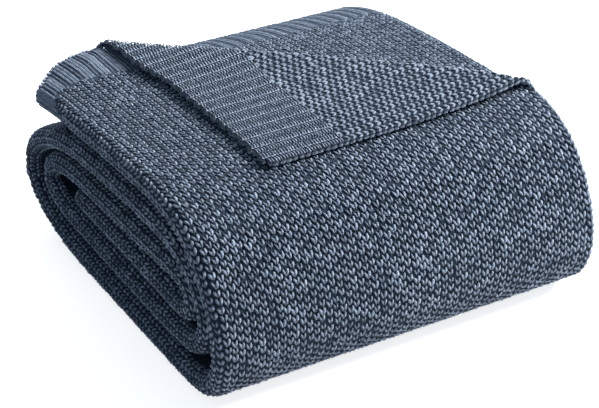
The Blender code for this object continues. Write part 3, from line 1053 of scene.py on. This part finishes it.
class BLANKET_OT_moss(bpy.types.Operator):
    """Lay the moss stitches over the body of the cloth."""

    bl_idname = "blanket.moss"
    bl_label = "Moss stitch"

    def execute(self, context):
        cloth = Cloth()
        lattice = top_lattice(cloth)
        fold = cloth.section.reach["left fold"][0] - OVERLAP
        whole = (0, cloth.roll.length - INNER_GAP)

        def on_ply(u, s):
            return u < fold

        def lying(u, s):
            beyond, along = cloth.corner.place(*cloth.plan(u, s))
            return (u < fold) & (beyond < math.pi * cloth.corner.radius(along) * 0.6)

        def on_fold(u, s):
            return u >= fold

        def uncovered(u, s):
            x, y = cloth.plan(u, s)
            return x + y > cloth.sizes.crease_sum - UNDER_CREASE

        first, last = cloth.section.reach["right fold"]
        right = even_lattice(first - OVERLAP, last + OVERLAP, FOLD_COLUMN)
        second = even_lattice(*cloth.section.reach["second"], SECOND_COLUMN)
        patches = (
            ("moss_top", lattice.places(cloth, *TOP_REACH, lying)),
            ("moss_front", lattice.places(cloth, *FRONT_REACH, on_ply, 1)),
            ("moss_back", lattice.places(cloth, *BACK_REACH, on_ply)),
            ("moss_left_folds", lattice.places(cloth, *whole, on_fold)),
            ("moss_right_folds", right.places(cloth, *whole)),
            ("moss_second", second.places(cloth, *SECOND_REACH, uncovered)),
        )
        for seed, (name, places) in enumerate(patches, 1):
            work = Stitches(cloth, knit().seed * 100 + seed)
            lay_moss(work, places)
            fit(work.make(name), moss_yarn())
        return {"FINISHED"}


LADDER_ACROSS = 0.25         # width of the cloth over which the ladder is laid


class BLANKET_OT_flap(bpy.types.Operator):
    """Cover the reverse of the turned-back corner: moss stitch, and the ladder of the ribs."""

    bl_idname = "blanket.flap"
    bl_label = "Turned-back corner"

    def execute(self, context):
        cloth = Cloth()
        self.moss(cloth)
        self.ladder(cloth)
        return {"FINISHED"}

    def moss(self, cloth):
        def turned(u, s):
            beyond, along = cloth.corner.place(*cloth.plan(u, s))
            return (u < cloth.section.reach["left fold"][0] - OVERLAP) & (beyond > 0.0)

        work = Stitches(cloth, knit().seed * 100 + 11)
        lay_moss(work, top_lattice(cloth).places(cloth, *TOP_REACH, turned, 1), side=-1)
        fit(work.make("moss_flap"), moss_yarn())

    def ladder(self, cloth):
        sizes = knit()
        pitch = cloth.sizes.strip_width / sizes.top_ribs
        course = sizes.course_pitch
        work = Stitches(cloth, sizes.seed * 100 + 12)
        bar = [Strand([(-0.0030, 0, 0.0009), (0, 0, 0.0019), (0.0030, 0, 0.0009)], 0.00043)]
        bead = [Strand([(0, 0.0012, 0.0004), (0, 0, 0.0018), (0, -0.0012, 0.0004)], 0.00064)]
        small = [Strand([(0, 0.0010, 0.0004), (0, 0, 0.0014), (0, -0.0010, 0.0004)], 0.00044)]
        for k in range(int(LADDER_ACROSS / pitch)):
            for offset, strand in ((0.0, small), (0.25, bar), (0.5, bead), (0.75, bar)):
                u = (k + offset) * pitch
                if u < 0.001:
                    continue
                start = float(cloth.end(u))
                s = np.arange(start + 0.0015, start + float(cloth.border(u)) + 0.001, course)
                beyond, along = cloth.corner.place(*cloth.plan(np.full(len(s), u), s))
                s = s[beyond > -0.002]
                if len(s):
                    work.lay(strand, np.full(len(s), u), s, side=-1, slack=0.03, lumps=0.5)
        fit(work.make("ladder_flap"), ladder_yarn())


RibColumn = namedtuple("RibColumn", "offset half_width half_height rise")

# Offset and half width are shares of the pitch of the ribs
RIB_COLUMNS = (
    RibColumn(-0.21, 0.128, 0.00075, 0.00055),
    RibColumn(0.0, 0.128, 0.00080, 0.00075),
    RibColumn(0.21, 0.128, 0.00075, 0.00055),
    RibColumn(0.5, 0.062, 0.00065, 0.00050),
)
RIB_RING = 0.0010


class BLANKET_OT_ribs(bpy.types.Operator):
    """Lay the ribs that show on the right side of the two upper borders."""

    bl_idname = "blanket.ribs"
    bl_label = "Ribs"

    def execute(self, context):
        cloth = Cloth()
        sizes = knit()
        ply_end = cloth.section.reach["left fold"][1]
        top = Stitches(cloth, sizes.seed * 100 + 21)
        pitch = cloth.sizes.strip_width / sizes.top_ribs
        for k in range(int(ply_end / pitch) + 1):
            self.rib(top, k * pitch, pitch, clip=True)
        fit(top.make("ribs_top"), rib_yarn())
        second = Stitches(cloth, sizes.seed * 100 + 22)
        first, last = cloth.section.reach["second"]
        pitch = (last - first) / sizes.second_ribs
        for k in range(-1, sizes.second_ribs + 1):
            self.rib(second, first + k * pitch, pitch, clip=False)
        fit(second.make("ribs_second"), rib_yarn())
        return {"FINISHED"}

    def rib(self, work, u, pitch, clip):
        """One wide rib of three knit columns, and the thin ridge beside it."""
        cloth = work.cloth
        for offset, half_width, half_height, rise in RIB_COLUMNS:
            place = u + offset * pitch
            if not 0.0005 < place < cloth.section.width:
                continue
            start = float(cloth.end(place))
            s = np.arange(start + 0.0005, start + float(cloth.border(place)), RIB_RING)
            if clip:
                beyond, along = cloth.corner.place(*cloth.plan(np.full(len(s), place), s))
                lying = beyond < math.pi * cloth.corner.radius(along) * 0.8
                s = s[lying | (place > cloth.top_width)]
                if len(s) < 6:
                    continue
            work.run(np.full(len(s), place), s, half_width * pitch, half_height, rise)


EDGE_INSET = 0.0003
LOOP_PITCH = 0.0034


class BLANKET_OT_edges(bpy.types.Operator):
    """Set the knobbly stitches along the free edges and the cast-off end."""

    bl_idname = "blanket.edges"
    bl_label = "Edges"

    def execute(self, context):
        cloth = Cloth()
        sizes = knit()
        work = Stitches(cloth, sizes.seed * 100 + 31)
        pitch = sizes.stitch_pitch
        knob = [Strand([(0, 0.0024, 0), (0, 0, 0), (0, -0.0024, 0)], 0.0021, sides=6)]
        for u in (EDGE_INSET, cloth.section.width - EDGE_INSET):
            start = float(cloth.end(u))
            s = np.arange(start + 0.002, cloth.roll.length - 0.002, pitch)
            work.lay(knob, np.full(len(s), u), s)
        loop = [Strand([(-0.0019, 0, 0), (0, 0, 0), (0.0019, 0, 0)], 0.0016, sides=6)]
        u = np.arange(0.002, cloth.section.width - 0.001, LOOP_PITCH)
        work.lay(loop, u, cloth.end(u) + EDGE_INSET)
        work.lay(loop, u, np.full(len(u), cloth.roll.length - EDGE_INSET))
        fit(work.make("edge_stitches"), edge_yarn())
        return {"FINISHED"}


# Place, size and tint of the lights
KEY_LIGHT = ((1.50, -0.50, 1.18), 0.6, (1.0, 0.985, 0.96))
BACK_LIGHT = ((0.3, 1.6, 1.3), 1.0, (0.94, 0.97, 1.0))
FLOOR_REACH = 8


class BLANKET_OT_stage(bpy.types.Operator):
    """Set the camera, the lights, the floor and the pale surroundings."""

    bl_idname = "blanket.stage"
    bl_label = "Stage"

    def execute(self, context):
        self.camera(context)
        self.floor()
        self.lights()
        self.surroundings(context)
        return {"FINISHED"}

    def camera(self, context):
        stage = context.scene.blanket_stage
        turn = math.radians(stage.azimuth)
        rise = math.radians(stage.elevation)
        back = Vector((math.sin(turn) * math.cos(rise), -math.cos(turn) * math.cos(rise),
                       math.sin(rise)))
        right = Vector((math.cos(turn), math.sin(turn), 0))
        up = back.cross(right)
        shift = Cloth().shift
        aim = Vector(stage.aim) + Vector((shift[0], shift[1], 0))
        place = aim + back * stage.distance + right * stage.slide[0] + up * stage.slide[1]
        data = bpy.data.cameras.new("photo view")
        data.sensor_width = 36
        data.lens = stage.focal
        data.clip_start = 0.01
        camera = bpy.data.objects.new("photo view", data)
        axes = Matrix((right, up, back)).transposed().to_4x4()
        camera.matrix_world = Matrix.Translation(place) @ axes
        context.scene.collection.objects.link(camera)
        context.scene.camera = camera

    def floor(self):
        stage = bpy.context.scene.blanket_stage
        material = bpy.data.materials.new("pale paper")
        material.use_nodes = True
        shader = material.node_tree.nodes["Principled BSDF"]
        shader.inputs["Base Color"].default_value = (*stage.paper, 1)
        shader.inputs["Roughness"].default_value = 0.9
        shader.inputs["Emission Color"].default_value = (1, 1, 1, 1)
        rays = node(material.node_tree, "ShaderNodeLightPath")
        seen = math_node(material.node_tree, "MULTIPLY", rays.outputs["Is Camera Ray"], stage.glow)
        material.node_tree.links.new(seen, shader.inputs["Emission Strength"])
        shader.inputs["Specular IOR Level"].default_value = 0.1
        mesh = bpy.data.meshes.new("floor")
        corners = [(x * FLOOR_REACH, y * FLOOR_REACH, 0)
                   for x, y in ((-1, -1), (1, -1), (1, 1), (-1, 1))]
        mesh.from_pydata(corners, [], [(0, 1, 2, 3)])
        floor = bpy.data.objects.new("floor", mesh)
        floor.data.materials.append(material)
        bpy.context.scene.collection.objects.link(floor)

    def lights(self):
        stage = bpy.context.scene.blanket_stage
        self.lamp("key light", *KEY_LIGHT, stage.key)
        self.lamp("back light", *BACK_LIGHT, stage.fill)

    def lamp(self, name, place, size, tint, power):
        data = bpy.data.lights.new(name, "AREA")
        data.size = size
        data.energy = power
        data.color = tint
        lamp = bpy.data.objects.new(name, data)
        lamp.location = place
        aim = Vector((0, 0, 0.07)) - Vector(place)
        lamp.rotation_euler = aim.to_track_quat("-Z", "Y").to_euler()
        bpy.context.scene.collection.objects.link(lamp)

    def surroundings(self, context):
        world = bpy.data.worlds.new("pale surroundings")
        world.use_nodes = True
        shader = world.node_tree.nodes["Background"]
        shader.inputs["Color"].default_value = (*context.scene.blanket_stage.air, 1)
        shader.inputs["Strength"].default_value = context.scene.blanket_stage.sky
        context.scene.world = world
        context.scene.view_settings.view_transform = "Standard"


class VIEW3D_PT_blanket(bpy.types.Panel):
    """Sizes, colours and steps of the blanket."""

    bl_idname = "VIEW3D_PT_blanket"
    bl_label = "Blanket"
    bl_space_type = "VIEW_3D"
    bl_region_type = "UI"
    bl_category = "Blanket"

    def draw(self, context):
        layout = self.layout
        for settings in GROUPS:
            column = layout.column(align=True)
            for name in settings.__annotations__:
                column.prop(getattr(context.scene, GROUPS[settings]), name)
        for operator in OPERATORS:
            layout.operator(operator.bl_idname)


GROUPS = {BlanketFolds: "blanket_folds", BlanketKnit: "blanket_knit",
          BlanketYarn: "blanket_yarn", BlanketStage: "blanket_stage"}
OPERATORS = (BLANKET_OT_sheet, BLANKET_OT_moss, BLANKET_OT_flap, BLANKET_OT_ribs,
             BLANKET_OT_edges, BLANKET_OT_stage)


def register():
    for kind in (*GROUPS, *OPERATORS, VIEW3D_PT_blanket):
        bpy.utils.register_class(kind)
    for settings, name in GROUPS.items():
        setattr(bpy.types.Scene, name, PointerProperty(type=settings))


def unregister():
    for name in GROUPS.values():
        delattr(bpy.types.Scene, name)
    for kind in reversed((*GROUPS, *OPERATORS, VIEW3D_PT_blanket)):
        bpy.utils.unregister_class(kind)


def declare_cloth():
    """Builds the folded cloth once more, and keeps nothing of it."""
    cloth = Cloth()


def main():
    register()
    bpy.ops.blanket.sheet()
    bpy.ops.blanket.moss()
    bpy.ops.blanket.flap()
    bpy.ops.blanket.ribs()
    bpy.ops.blanket.edges()
    bpy.ops.blanket.stage()
    declare_cloth()
    bpy.context.view_layer.update()


if __name__ == "__main__":
    main()
